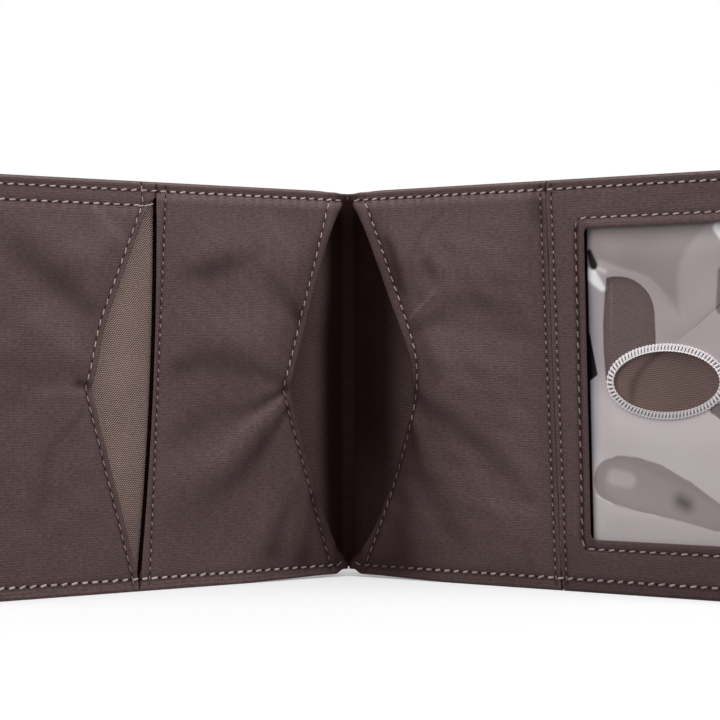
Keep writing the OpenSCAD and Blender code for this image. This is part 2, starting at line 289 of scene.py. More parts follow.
def material(name):
    return Finish(bpy.data.materials.new(name))


def srgb(red, green, blue):
    """A colour as seen on a screen, as the shader wants it."""
    linear = [c / 255 / 12.92 if c <= 10 else ((c / 255 + 0.055) / 1.055) ** 2.4 for c in (red, green, blue)]
    return (*linear, 1.0)


def nylon_finish(name, light, dark, shaded=False, shine=0.22):
    """Fine plain nylon: close level ribs, broken by short floats, on a faintly uneven dye."""
    nylon = material(name)
    place, along, up = nylon.flat_place()
    wander = nylon.patches(place, 9.0, stretch=(0.5, 1, 1)) - 0.5
    ribs = nylon.ridges(up + wander * 0.9, 0.58)
    warp = nylon.ridges(along + wander * 0.8, 0.62)
    floats = nylon.patches(place, 0.38, rough=0.7, stretch=(0.3, 1, 1))
    dye = nylon.patches(place, 20.0, detail=3.0)
    weave = ribs * 0.2 + warp * 0.14 + floats * 1.1 - 0.2
    colour = nylon.tint(weave * 1.7 + dye * 0.6 - 0.7, dark, light)
    # Painted shade: a shaded nylon is painted darker, towards a reddish near-black, by the shade kept on its
    # points.
    if shaded:
        colour = nylon.tint(nylon.painted_shade(), srgb(31, 3, 3), colour)
    return nylon.surface({
        "Base Color": colour, "Roughness": 0.7 - floats * 0.2,
        "Normal": nylon.relief(weave, 0.3, 0.00014), "Specular IOR Level": shine})


cover_nylon = nylon_finish("cover_nylon", srgb(102, 82, 78), srgb(70, 53, 50))
cover_t, cover_tall = 0.4, 95.5
cover_back = 4.6
fold_start_u = 6.0
spine_lap = 0.08
puff_h, puff_wave, puff_u, puff_run = 0.35, 17.0, 14.0, 20.0


def bends(piece, side):
    """Bakes the piece's place into its mesh."""
    start = on_half(side, fold_start_u, 0.0, tall / 2)
    end = on_half(side, *spine_point(cover_back), tall / 2)
    body_of(side)
    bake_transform(piece)


def cover_middle(u, z):
    """The cover lies flat, but for a faint puff away from the spine, and loops behind the fold lines."""
    puff = puff_h * np.sin(u / puff_wave + 0.6) * np.sin(z / tall * math.pi)
    return looped(u, 0.0, cover_back) - puff * np.clip((u - puff_u) / puff_run, 0, 1)


def spine_cloth(name, side, back, middle, thick, finish, **cut):
    """One half of a cloth that runs across the spine, from the middle to the outer end."""
    start = spine_point(back)[0] - spine_lap
    return sewn_cloth(name, side, lambda z: np.full_like(z, start), outer_end, *plies(middle, thick), finish,
                      open_inner=True, **cut)


for side, half in halves:
    cover = spine_cloth("cover_" + half + "_cloth", side, cover_back, cover_middle, cover_t, cover_nylon,
                        step=1.0, roll=0.3, high=cover_tall)
    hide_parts("cover_" + half, "cover_spine")
    bends(cover, side)

# Cover stitches
# One row of lockstitch runs round each cover half close to its edges. The thread is a pale twisted
# polyester; every stitch lies a little askew and dips into its needle holes at both ends.

stitch_pitch, stitch_r = 2.55, 0.24
border_in, border_bend = 2.0, 1.6
stitch_rise, stitch_dip = 0.15, 0.36
turn_wobble, length_wobble = 3.5, 0.05
upper_z = tall - border_in
# Plain level of a cloth's painted tone.
plain_tone = 0.84
# Painted shade: below this height the stitches of some rows are painted dimmer.
lower_shade_z, lower_shade_run = 48.0, 5.0


def thread_finish(name, light, dark, glow=0.0):
    """Twisted thread: two plies seen as slanting bands, painted dark by the shade kept on its points, as
    where the stitch dips into the cloth, and given a painted glow of the glow's strength.
    """
    thread = material(name)
    place, along, around = thread.flat_place()
    twist = thread.ridges(along * 3.2 + around * 0.9, 1.0)
    fibre = thread.patches(place, 0.25)
    colour = thread.tint(twist * 0.5 + fibre * 0.5, dark, light)
    # Painted shade: the colour is darkened towards near-black by the shade kept on its points.
    colour = thread.tint(thread.painted_shade(), srgb(26, 18, 17), colour)
    return thread.surface({
        "Base Color": colour, "Roughness": 0.55 + fibre * 0.2, "Normal": thread.relief(twist, 0.5, 0.0001),
        "Specular IOR Level": 0.15, "Emission Color": colour, "Emission Strength": glow})


beige_thread = thread_finish("beige_thread", srgb(234, 212, 207), srgb(176, 151, 147))


def thread_object(name, tubes, finish, flip=False):
    """One piece of many thread tubes, each a grid of rings with its run, its way round and its shade."""
    points, flat, shade, faces, base = [], [], [], [], 0
    for rings, run, around, lit in tubes:
        ids = base + np.arange(rings[..., 0].size).reshape(rings.shape[:2])
        base += ids.size
        turned = np.roll(ids, -1, 1)
        quads = np.stack([ids[:-1], turned[:-1], turned[1:], ids[1:]], -1).reshape(-1, 4)
        skin = quads.tolist() + [ids[0, ::-1].tolist(), ids[-1].tolist()]
        faces += [face[::-1] for face in skin] if flip else skin
        points.append(rings.reshape(-1, 3))
        flat.append(np.stack(np.broadcast_arrays(run[:, None], around), -1).reshape(-1, 2))
        shade.append(np.broadcast_to(lit, ids.shape).ravel())
    return cloth_object(name, np.concatenate(points), np.concatenate(flat), faces, finish,
                        np.concatenate(shade))


def row_places(path, pitch):
    """Middles and directions of stitches spaced along a path of (u, z) points."""
    path = np.asarray(path, float)
    lengths = np.hypot(*np.diff(path, axis=0).T)
    total = lengths.sum()
    count = max(1, int(round(total / pitch)))
    wanted = (np.arange(count) + 0.5) * total / count
    reached = np.concatenate([[0], np.cumsum(lengths)])
    leg = np.clip(np.searchsorted(reached, wanted) - 1, 0, len(lengths) - 1)
    share = (wanted - reached[leg]) / lengths[leg]
    middle = path[leg] + (path[leg + 1] - path[leg]) * share[:, None]
    return middle, (path[leg + 1] - path[leg]) / lengths[leg][:, None]


def stitches(name, side, rows, surface, seed, outward=1.0, tone=None, pitch=stitch_pitch, askew=9.0,
             reach=0.37, girth=stitch_r, pale=1.0, pit=1.0, lower_shade=0.0):
    """Rows of separate stitches, and black tubes between them, painted shade of their needle holes, on a
    surface of a half.
    """
    chance = np.random.default_rng(seed)
    along = np.array([-1, -0.9, -0.75, -0.6, -0.3, 0, 0.3, 0.6, 0.75, 0.9, 1])
    around = np.linspace(0, 2 * math.pi, 7)[:-1]
    height = stitch_rise - stitch_dip * np.abs(along) ** 5
    width = (1 - 0.5 * np.abs(along) ** 4)[:, None]
    # Painted shade: each stitch darkens towards its ends, where it dips into the cloth.
    end_shade = smooth((0.9 - np.abs(along)) / 0.3)[:, None]
    hole_half, hole_r, hole_drop = pitch * 0.18 * pit, girth * 1.05 * pit, 0.16
    tubes = []
    for path in rows:
        for (u, z), (du, dz) in zip(*row_places(path, pitch)):
            turn = math.radians(side * askew + chance.normal(0, turn_wobble))
            half_len = pitch * reach * (1 + chance.normal(0, length_wobble))
            # A stitch's brightness varies at random; painted shade dims it low down on some rows and where
            # its cloth is painted dark.
            lit = pale * chance.uniform(0.7, 1.0) * (1 - lower_shade * smooth((lower_shade_z - z) / lower_shade_run))
            if tone is not None:
                lit *= np.clip(tone(np.array([u]), np.array([z]))[0] / plain_tone, 0.1, 1.2) ** 0.7
            stitch = (u, z, turn, half_len, girth, height, 0.85, lit)
            pit_u, pit_z = u + du * pitch / 2, z + dz * pitch / 2
            # The needle hole is a black tube: painted shade of the hole.
            hole = (pit_u, pit_z, 0.0, hole_half, hole_r, height - hole_drop, 0.35, 0.0)
            for mid_u, mid_z, slant, half, radius, rise, plump, bright in (stitch, hole):
                way_u = du * math.cos(slant) - dz * math.sin(slant)
                way_z = du * math.sin(slant) + dz * math.cos(slant)
                su, sz = mid_u + way_u * along * half, mid_z + way_z * along * half
                across = radius * width * np.cos(around)
                over = plump * radius * width * np.sin(around)
                lift = surface(su, sz)[:, None] + outward * (rise[:, None] + over)
                rings = on_half(side, su[:, None] - way_z * across, lift, sz[:, None] + way_u * across)
                tubes.append((rings, along * half + chance.uniform(0, 9), around, end_shade * bright))
    return thread_object(name, tubes, beige_thread, side * outward > 0)


def border_path(first_u):
    """Along the lower edge, round the outer end and back along the upper edge, as a border row is sewn."""
    end, bend = half_w - border_in - border_bend, border_bend
    turn = np.linspace(0, math.pi / 2, 5)
    low = [(end + bend * math.sin(t), border_in + bend - bend * math.cos(t)) for t in turn]
    high = [(end + bend * math.cos(t), upper_z - bend + bend * math.sin(t)) for t in turn]
    return [(first_u, border_in)] + low + high + [(first_u, upper_z)]


for side, half in halves:
    row = stitches("cover_" + half + "_thread", side, [border_path(fold_start_u)],
                   plies(cover_middle, cover_t)[1], 11 + side, outward=-1.0)
    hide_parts("cover_" + half + "_stitches")
    bends(row, side)

# Inner wall
# The inner wall is the front of the note compartment: a plain nylon cloth that stands free of the cover
# at its edges. Between the halves it sinks into a deep trough; its near-black colour is painted shade of the
# trough.

wall_d, wall_t = 1.55, 0.3
wall_back = 2.7
wall_in = 1.0
# Painted shade: the wall's reddish near-black colour stands for the shade in the trough.
painted_dark_wall_nylon = nylon_finish("painted_dark_wall_nylon", srgb(45, 26, 24), srgb(26, 12, 10), shine=0.05)


def wall_middle(u, z):
    return looped(u, wall_d, wall_back)


for side, half in halves:
    wall = spine_cloth("inner_wall_" + half + "_cloth", side, wall_back, wall_middle, wall_t, painted_dark_wall_nylon,
                       step=1.1, roll=0.2, low=wall_in, high=tall - wall_in)
    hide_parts("inner_wall_" + half, "inner_spine")
    bends(wall, side)

# Linings
# Behind every pocket lies a lining of soft brown twill, sewn in at its upper and lower edges. It shows
# in the notches of the pocket mouths and through the card window. Its colour is painted darker where shade
# falls: into the fold, beside the slit and behind the vinyl.

lining_d, lining_t = 1.9, 0.3
lining_back = wall_back - 0.35
lining_in, lining_short = 0.6, 1.5
slit_w, slit_low, slit_high, slit_run = 0.2, 0.6, 88.0, 1.4
seam_gap = 0.03
seam_bow = 1.3
left_seam_ends, right_seam_ends = (55.2, 50.5), (56.6, 52.6)


def slanted(ends, z):
    """A size that changes evenly from the lower edge to the upper one."""
    return ends[0] + (ends[1] - ends[0]) * z / tall


def straight_seam(z):
    return slanted(left_seam_ends, z)


def left_seam(z):
    """The seam bows a little towards the spine."""
    return straight_seam(z) - seam_bow * np.sin(math.pi * np.clip(z / tall, 0, 1))


def right_seam(z):
    return slanted(right_seam_ends, z)


def slit_half(z):
    """Half the width of the slit between the two left pockets; the border rows close its ends."""
    return slit_w / 2 * smooth(np.minimum(z - slit_low, slit_high - z) / slit_run) + seam_gap


def twill_finish(name, light, dark):
    """Twill: close ribs that climb at a slant, each broken into short floats."""
    twill = material(name)
    place, along, up = twill.flat_place()
    wander = twill.patches(place, 4.0) - 0.5
    ribs = twill.ridges(along * 0.75 + up * 0.7 + wander * 0.3, 0.47)
    floats = twill.ridges(up - along * 0.12 + wander * 0.3, 0.47)
    fibre = twill.patches(place, 0.4, rough=0.7)
    dye = twill.patches(place, 16.0)
    weave = ribs * 0.3 + ribs * floats * 1.3 + fibre * 0.3
    colour = twill.tint(weave * 1.1 + dye * 0.3 - 0.3, dark, light)
    # Painted shade: the colour is painted darker, towards a reddish near-black, by the shade kept on its
    # points.
    return twill.surface({
        "Base Color": twill.tint(twill.painted_shade(), srgb(17, 0, 0), colour), "Roughness": 0.78 - fibre * 0.15,
        "Normal": twill.relief(weave, 0.45, 0.0002), "Specular IOR Level": 0.05})


brown_twill = twill_finish("brown_twill", srgb(198, 170, 162), srgb(52, 38, 35))
window_twill = twill_finish("window_twill", srgb(166, 141, 136), srgb(80, 63, 60))


def left_deep_shade(u, z):
    """Painted shade: the lining is painted darker into the fold and under the slit, where no light reaches.
    """
    upper, lower = smooth((z - 58.0) / 14.0), smooth((30.0 - z) / 20.0)
    lit = (0.29 + 0.07 * upper) * smooth((u - 0.8 + 1.5 * upper + lower) / 6.5) + 0.02
    return lit * (1 - 0.95 * smooth((u - left_seam(z) + 3.5) / 1.5))


def right_deep_shade(u, z):
    """Painted shade: on the right the mouth has rolled over the lining, so more of it is painted dark."""
    return 0.25 * smooth((u - 6.5) / 9.0) + 0.045 * smooth((40.0 - z) / 25.0) + 0.02


def beside_slit_shade(u, z):
    """Painted shade: in the left outer mouth the twill is painted darker beside the slit and towards the
    lower end.
    """
    beside_slit = smooth((left_seam(z) + 9.0 - u) / 9.0) * smooth((84.0 - z) / 12.0)
    return 1 - 0.2 * beside_slit - 0.12 * smooth((30.0 - z) / 24.0)


def under_window_shade(u, z):
    """Painted shade: behind the vinyl the twill is painted a little darker, and a painted dark line, the
    shade of a crease, crosses the thumb hole.
    """
    bend = 74.0 + 0.075 * np.clip(z - 45.0, 0, 12) ** 2
    crease = np.exp(-((u - bend) / 1.1) ** 2) * smooth((z - 40.0) / 6.0) * smooth((57.0 - z) / 2.0)
    return plain_tone - 0.3 * crease


def lining_end(z):
    """The inner linings reach into the trough and stop short of its middle."""
    return np.full_like(z, spine_point(lining_back)[0] + lining_short)


def left_near(z):
    return left_seam(z) - slit_half(z)


def right_near(z):
    return right_seam(z) - seam_gap


def right_far(z):
    return right_seam(z) + seam_gap


linings = {
    "left_inner_lining": (-1, lining_end, left_near, left_deep_shade, 0.0576),
    "left_outer_lining": (-1, lambda z: left_seam(z) + slit_half(z), outer_end, beside_slit_shade, 0.0603),
    "right_inner_lining": (1, lining_end, right_near, right_deep_shade, 0.0602),
    "id_lining": (1, right_far, outer_end, under_window_shade, 0.0585),
}
for name, (side, near, far, shade, cut_w) in linings.items():
    lining = sewn_cloth(name + "_twill", side, near, far,
                        *plies(lambda u, z: looped(u, lining_d, lining_back), lining_t),
                        window_twill if name == "id_lining" else brown_twill, step=0.6, roll=0.2,
                        low=lining_in, high=tall - lining_in, shade=shade)
    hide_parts(name)
    if "inner" in name:
        bends(lining, side)
    else:
        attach(lining, body_of(side))

# Pockets
# Three pocket faces of the same nylon as the cover. Each has a notched, hemmed mouth that stands a little
# open, turned-in upper and lower edges sewn to the lining, and the soft creases of a used pocket. Their
# colour carries painted light and shade, on a nylon made brighter to leave room for painted highlights.

face_d = 3.55
hem_w, hem_t = 4.0, 0.3
face_t = 0.3
sewn_back_d = lining_d + lining_t / 2 + 0.06
lip_in, outer_lip_in, rolled_lip_in = 2.0, 1.6, 1.7
seam_in, double_in = 2.5, 1.4
second_z = 89.5
mouth_in = 2.0
left_tip_z, outer_tip_z, right_tip_z = 45.7, 46.9, 50.6
outer_low, outer_high = 1.5, 90.6
lip_start = 0.7
left_deep, outer_deep, right_deep = 14.2, 14.6, 16.6
sharp_tip, blunt_tip = 0.03, 0.16
over_spine, over_in, over_run = 3.32, 0.8, 6.0
mouth_run, belly_h, hem_rise = 13.0, 1.1, 0.14
crease_h, swell_h, pucker_h, row_dip = 0.2, 0.1, 0.2, 0.16
# The painted tone is divided by this, so that painted light can rise above the plain tone.
brightest = 1.5
pressed_u, pressed_d, pressed_to = 50.0, 2.3, 0.35
pocket_nylon = nylon_finish("pocket_nylon", srgb(137, 114, 112), srgb(89, 70, 69), shaded=True)


def notch(z, tip_z, low, high, blunt):
    """From 0 at the ends of a notched mouth to 1 at its tip, with the tip rounded."""
    q = np.where(z > tip_z, (z - tip_z) / (high - tip_z), (tip_z - z) / (tip_z - low))
    q = np.clip(q, 0, 1)
    return (math.hypot(1, blunt) - np.hypot(q, blunt)) / (math.hypot(1, blunt) - blunt)


def drawn_over(z):
    """At its upper and lower ends a mouth is drawn over the spine, to the middle."""
    return over_spine * np.exp(-np.maximum(np.minimum(z, tall - z) - over_in, 0) / over_run)


def left_inner_notch(z):
    return lip_start + left_deep * notch(z, left_tip_z, mouth_in, tall - mouth_in, sharp_tip)


def left_inner_lip(z):
    return left_inner_notch(z) - drawn_over(z)


def left_outer_lip(z):
    """Above its tip this mouth is cut back further, as far as the second row."""
    above = np.clip((z - outer_tip_z) / (outer_high - outer_tip_z), 0, 1)
    cut_back = (2.2 * smooth(above / 0.4) - 0.7 * above) * smooth((91.6 - z) / 1.5)
    deep = outer_deep * notch(z, outer_tip_z, outer_low, outer_high, sharp_tip)
    return straight_seam(z) + slit_half(z) + deep + cut_back


def right_below(z):
    """Share of the way from the right mouth's tip to its lower end."""
    return np.clip((right_tip_z - z) / (right_tip_z - mouth_in), 0, 1)


def right_inner_notch(z):
    """This mouth has a blunt tip and is fuller below it."""
    fuller = 1.3 * np.sin(math.pi * right_below(z))
    return lip_start + right_deep * notch(z, right_tip_z, mouth_in, tall - mouth_in, blunt_tip) + fuller


def right_inner_lip(z):
    """Above the tip the hem has rolled open, so more of it shows; below it has rolled in to its row."""
    above = np.clip((z - right_tip_z) / (tall - mouth_in - right_tip_z), 0, 1)
    below = right_below(z)
    rolled = 0.85 * smooth(below / 0.12) * smooth((1 - below) / 0.25) - 1.1 * np.sin(math.pi * above)
    return right_inner_notch(z) - drawn_over(z) + rolled


def beside(u, z, start, end):
    """Share of the way along a straight leg, and distance from it."""
    du, dz = end[0] - start[0], end[1] - start[1]
    share = np.clip(((u - start[0]) * du + (z - start[1]) * dz) / (du * du + dz * dz), 0, 1)
    return share, np.hypot(u - start[0] - share * du, z - start[1] - share * dz)


def creases(u, z, lines):
    """Soft ridges and valleys along bent lines, given as places with a width and a height."""
    total = np.zeros_like(u)
    for line in lines:
        strongest = np.zeros_like(u)
        for start, end in zip(line[:-1], line[1:]):
            share, away = beside(u, z, start, end)
            width = start[2] + (end[2] - start[2]) * share
            height = (start[3] + (end[3] - start[3]) * share) * np.exp(-(away / width) ** 2)
            strongest = np.where(np.abs(height) > np.abs(strongest), height, strongest)
        total += strongest
    return total


def swells(u, z, seed, size):
    """Broad shallow unevenness of a cloth that hangs free between its seams."""
    chance = np.random.default_rng(seed)
    total = np.zeros_like(u)
    for _ in range(7):
        ku, kz = chance.normal(0, 1 / 13.0, 2)
        total += np.sin(2 * math.pi * (ku * u + kz * z) + chance.uniform(0, 6.3))
    return size * total / 3.0


def sewn_in(u, z, rows, width=0.75):
    """The cloth is drawn down along each sewn row."""
    total = np.zeros_like(u)
    for path in rows:
        nearest = np.min([beside(u, z, start, end)[1] for start, end in zip(path[:-1], path[1:])], axis=0)
        total -= row_dip * np.exp(-(nearest / width) ** 2)
    return total


def pucker_wave(u):
    return np.cos(2 * math.pi * u / stitch_pitch)


def top_puckers(u, z, row_z):
    """Small upright puckers that hang below an upper row, one to each stitch."""
    below = row_z - z
    fade = np.where(below > 0, np.exp(-below / 2.2) * np.clip(below / 0.6, 0, 1), 0)
    return pucker_h * fade * pucker_wave(u)


def lip_row(lip, inset, low, high):
    """Path of the row that runs beside a notched mouth."""
    z = np.linspace(low, high, 61)
    return np.stack([lip(z) + inset, z], -1)


def seam_row(seam, off):
    """Path of a row beside a seam."""
    return [(seam(z) + off, z) for z in (1.0, tall - 1.0)]


level_rows = [[(-2.2, z), (111, z)] for z in (border_in, upper_z)]
second_row = [(51.8, second_z), (111, second_z)]
left_seam_row = seam_row(left_seam, -seam_in)
right_seam_rows = [seam_row(right_seam, off) for off in (-double_in, double_in)]
# Each pocket's folds are creases of its cloth and also paint its tone: dark valleys, light ridges. Its
# shading strokes paint shade, or light where their value is negative; mouth_dark paints shade by the mouth,
# and glow paints a highlight on the puckers below the upper row.
pockets = {
    "left_inner_pocket": dict(
        side=-1, lip=left_inner_lip, far=left_near, opens=1.6, tip=(left_tip_z, 0.0, tall),
        upper=upper_z, seed=3,
        rows=level_rows + [lip_row(left_inner_notch, lip_in, 0.8, 94.2), left_seam_row],
        folds=[
            [(42.1, 73.7, 2.4, -0.8), (37.5, 74.5, 3.2, -1.4), (31.8, 76.3, 3.1, -1.3),
             (26.3, 77.4, 2.4, -0.6), (21.3, 80.4, 2, -0.15)],
            [(22.4, 74.1, 2.6, -0.3), (17.4, 69.5, 3, -0.95), (12.6, 64.2, 2, -1.1)],
            [(42.6, 65.6, 4.5, 0.3), (25.3, 59.5, 4, 0.3)],
            [(44.8, 51.1, 2.8, -1), (39.5, 53.2, 3.6, -1.05), (32.7, 53.0, 3.8, -1),
             (25.3, 50.8, 3.4, -0.95), (19.7, 48.8, 2.1, -0.9), (15.8, 47.0, 1, -0.9)],
            [(33.6, 47.0, 3, -0.2), (25.9, 44.9, 3, -0.3)],
            [(45.7, 34.8, 3.4, -0.6), (40.9, 38.0, 3.8, -0.75), (35.7, 40.5, 3, -0.5),
             (27.0, 40.6, 1.9, -0.75), (21.4, 43.2, 1.6, -1.25), (16.3, 45.8, 0.9, -1.4)],
            [(16.6, 44.3, 0.8, 0.8), (25.9, 37.4, 2.2, 1.25), (32.8, 31.1, 3, 0.75),
             (40.9, 27.0, 3.6, 0.2)],
            [(15.8, 40.9, 1, -1.15), (22.6, 32.3, 2.3, -1.35), (28.7, 25.2, 3.2, -1.15),
             (38.2, 19.3, 4.4, -0.7), (45.5, 15.4, 5, -0.4)],
            [(12.5, 21.7, 2, -0.4), (16.5, 14.0, 2, -0.75), (19.3, 6.8, 2.4, -0.85)],
            [(8.4, 18.5, 2.2, -0.7), (9.0, 11.2, 2.6, -0.85), (10.8, 4.3, 3, -1)],
            [(20.7, 88.7, 0.9, 0.3), (14.2, 78.7, 1, 0.25)],
            [(16.4, 26.2, 2, 0.1), (26.0, 8.4, 3.4, 0.15)],
        ],
        painted_shading=[
            [(8, 4, 8, 0.08), (13, 26, 8, 0.08)], [(9, 72, 6, 0.05), (16, 52, 6, 0.05)],
            [(-2, 3, 5, 0.24), (20, 4, 5, 0.24)], [(13.4, 90.5, 4, 0.12), (7.6, 82.3, 4, 0.12)],
            [(15.2, 44, 1.6, 0.12), (8.6, 24, 2, 0.22), (4.2, 10, 2.4, 0.25)],
            [(4.0, 10, 4, 0.2), (1.5, 3, 5, 0.35)], [(-2, 0.6, 1.1, -0.22), (55, 0.6, 1.1, -0.22)],
        ],
        mouth_dark=0.24, glow=0.85),
    "left_outer_pocket": dict(
        side=-1, lip=left_outer_lip, far=outer_end, opens=1.2, tip=(outer_tip_z, outer_low, outer_high),
        upper=second_z, seed=5,
        rows=level_rows + [second_row, lip_row(left_outer_lip, outer_lip_in, 0.6, outer_high)],
        folds=[
            [(89.3, 79.8, 3, -0.5), (85.1, 77.9, 3.6, -0.85), (77.8, 73.3, 4.2, -1.15),
             (72.9, 69.3, 4.2, -1.2), (68.9, 65.0, 3, -0.9)],
            [(82.7, 66.0, 3.6, 0.4), (71.5, 56.0, 3.4, 0.55)],
            [(89.4, 51.3, 3.4, -0.4), (71.0, 50.3, 3, -0.4)],
            [(71.0, 47.8, 1.1, -1.4), (68.5, 47.1, 0.9, -1.4)],
            [(80.3, 45.6, 1.4, 0.45), (70.5, 45.7, 1.2, 0.65)],
            [(70.0, 40.9, 0.8, -0.5), (77.9, 33.3, 1.2, -0.35), (80.9, 17.1, 2.5, -0.3)],
            [(66.1, 88.4, 0.9, 0.6), (59.8, 81.2, 1.1, 0.6)],
            [(89.8, 83.8, 3, -0.35), (84.1, 80.9, 3, -0.3)],
            [(69.4, 88.7, 1.6, -0.2), (67.1, 82.8, 1.6, -0.3)],
            [(100, 84, 5, -0.4), (110, 60, 5, -0.3)],
        ],
        painted_shading=[
            [(110, 20, 14, 0.05), (95, 60, 14, 0.05)], [(62, 8, 30, 0.06), (113, 8, 30, 0.06)],
            [(55, 0.6, 1.1, -0.22), (111, 0.6, 1.1, -0.22)],
        ],
        mouth_dark=0.02, glow=0.2),
    "right_inner_pocket": dict(
        side=1, lip=right_inner_lip, far=right_near, opens=2.6, tip=(right_tip_z, 0.0, tall),
        upper=upper_z, seed=8,
        rows=level_rows + [lip_row(right_inner_notch, rolled_lip_in, 0.8, 94.2)] + right_seam_rows,
        folds=[
            [(16.3, 77.1, 0.9, -0.3), (18.9, 83.8, 0.9, -0.45), (24.8, 89.2, 0.9, -0.3)],
            [(21.1, 76.7, 1.7, -0.8), (23.3, 72.0, 1.5, -0.6)],
            [(18.5, 73.6, 2.4, -0.3), (19.9, 67.2, 2.2, -0.45)],
            [(9.1, 83.2, 0.8, -0.5), (11.4, 78.2, 1.6, -1), (13.4, 72.7, 1.5, -0.9),
             (15.1, 68.5, 0.8, -0.4)],
            [(16.8, 62.9, 0.45, 0.95), (23.6, 69.6, 0.5, 0.5)],
            [(18.5, 60.6, 1.6, -0.9), (22.7, 62.3, 2.8, -1), (27.8, 65.6, 3.6, -0.75),
             (34.9, 66.9, 4.4, -0.7), (41.7, 63.9, 4.2, -0.6), (46.2, 58.7, 3.6, -0.35)],
            [(24.4, 56.7, 4, 0.3), (43.6, 53.5, 4, 0.35)],
            [(20.7, 54.8, 2, -0.8), (24.4, 48.7, 2, -0.75)],
            [(16.5, 55.5, 2, -0.4), (18.7, 47.0, 2, -0.3)],
            [(18.4, 44.8, 1.4, -0.8), (24.3, 40.2, 3.2, -0.95), (34.8, 33.4, 3.2, -0.95),
             (42.1, 26.6, 2.4, -0.8), (48.2, 19.8, 1.4, -0.55)],
            [(32.6, 23.7, 3, 0.2), (46.6, 16.1, 3, 0.35)],
            [(16.4, 37.4, 1.3, -0.8), (18.4, 28.6, 2.2, -0.75), (20.9, 22.6, 3, -0.85),
             (25.4, 16.0, 3.2, -0.75), (29.8, 9.6, 3.4, -0.4)],
            [(46.9, 9.3, 0.8, -0.4), (49.0, 4.4, 0.8, -0.4)],
        ],
        painted_shading=[
            [(8, 82, 4.6, 0.12), (17.5, 48, 4.6, 0.12)], [(16, 42, 9, 0.36), (4, 3, 9, 0.36)],
            [(14, 10, 8, 0.14), (46, 4, 8, 0.14)], [(20, 30, 8, 0.06), (24, 10, 8, 0.06)],
            [(-2, 3, 6, 0.2), (18, 4, 6, 0.2)], [(56.2, 2, 4.5, 0.16), (52.2, 93, 4.5, 0.16)],
            [(49.8, 91.6, 1.8, 0.3), (50.6, 86.8, 1.8, 0.3)], [(14.8, 75, 3, 0.14), (17.0, 65, 3, 0.14)],
            [(15.4, 33.5, 3.4, 0.18), (13.4, 4.5, 3.4, 0.18)], [(14, 24, 6, 0.14), (12, 4, 8, 0.16)],
            [(0, 2, 3, 0.14), (50, 2, 3, 0.16)], [(5, 88, 4, 0.2), (12, 72, 4, 0.16)],
            [(16, 86, 9, 0.06), (46, 84, 9, 0.06)],
        ],
        mouth_dark=0.14, glow=0.6),
}


def free_back(face, z, thick):
    """Back depth of a face: some way behind it, and down on the lining at its sewn upper and lower edges."""
    sewn = np.clip(hem_w - np.minimum(z, tall - z), 0, 1)
    return (face - thick) * (1 - sewn) + np.minimum(face - thick, sewn_back_d) * sewn


def pocket_faces(spec):
    """Front depth of a pocket: bellied, with its open mouth, creases and drawn-in rows; and the back depth,
    one ply behind it, two at the mouth's hem."""
    def front(u, z):
        from_lip = np.maximum(u - spec["lip"](z), 0)
        to_far = spec["far"](z) - u
        opening = spec["opens"] * notch(z, *spec["tip"], 0.2) * np.exp(-(from_lip / mouth_run) ** 1.4)
        loose = np.clip(np.minimum(z - 4.0, 90.0 - z) / 8.0, 0, 1) * np.clip(to_far / 8.0, 0, 1)
        soft = loose * (crease_h * creases(u, z, spec["folds"]) + swells(u, z, spec["seed"], swell_h))
        belly = belly_h * smooth((90.5 - z) / 16.0) * np.clip((z - 2.0) / 60.0, 0, 1)
        belly = belly * smooth(to_far / 14.0) * smooth(from_lip / 8.0)
        hem = hem_rise * (1 - np.clip((from_lip - 1.5) / 0.7, 0, 1))
        return (face_d + opening + soft + belly + hem + top_puckers(u, z, spec["upper"])
                + sewn_in(u, z, spec["rows"]))

    def back(u, z):
        hemmed = 1 - np.clip((u - spec["lip"](z) - hem_w) / 0.8, 0, 1)
        return free_back(front(u, z), z, face_t + hem_t * hemmed)
    return front, back


def flattens(piece, side):
    """Rides on its half, with a mesh of its own."""
    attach(piece, body_of(side))
    anchor = on_half(side, pressed_u, pressed_d, tall / 2)
    "right_fold" if side > 0 else "left_fold"
    -side * lean_sin
    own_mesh(piece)


def painted_tone(painted_shading, folds=(), lip=None, mouth_dark=0.0, glow=0.0, upper=upper_z):
    """The tone of a cloth. Painted shade makes it darker in the valleys of its creases, by its mouth and
    towards the spine; painted light makes it lighter on its ridges, on its upper edge and on the puckers
    below its upper row;
    its shading strokes paint it darker or lighter. It is also darker in a band just above its upper row."""
    def tone(u, z):
        ridges = np.clip(creases(u, z, folds), -1.5, 1.0)
        dark = creases(u, z, painted_shading) + 0.2 * smooth((z - 93.4) / 0.3) * smooth((94.6 - z) / 0.5)
        if lip is not None:
            dark = dark + mouth_dark * np.exp(-((u - lip(z)) / 2.6) ** 2) + 0.72 * smooth((2.4 - u) / 3.6)
        below = upper - z
        lit = glow * (0.8 + 0.35 * pucker_wave(u)) * smooth((below + 0.2) / 0.6) * smooth((3.0 - below) / 2.0)
        return plain_tone + 0.42 * ridges - dark + lit + 0.34 * smooth((z - 94.35) / 0.4)
    return tone


def painted_tone_and_row_shade(tone, rows):
    """The painted tone of a cloth, and painted shade along each row, where the thread draws it down."""
    return lambda u, z: (tone(u, z) + 2.6 * sewn_in(u, z, rows, 0.42)) / brightest


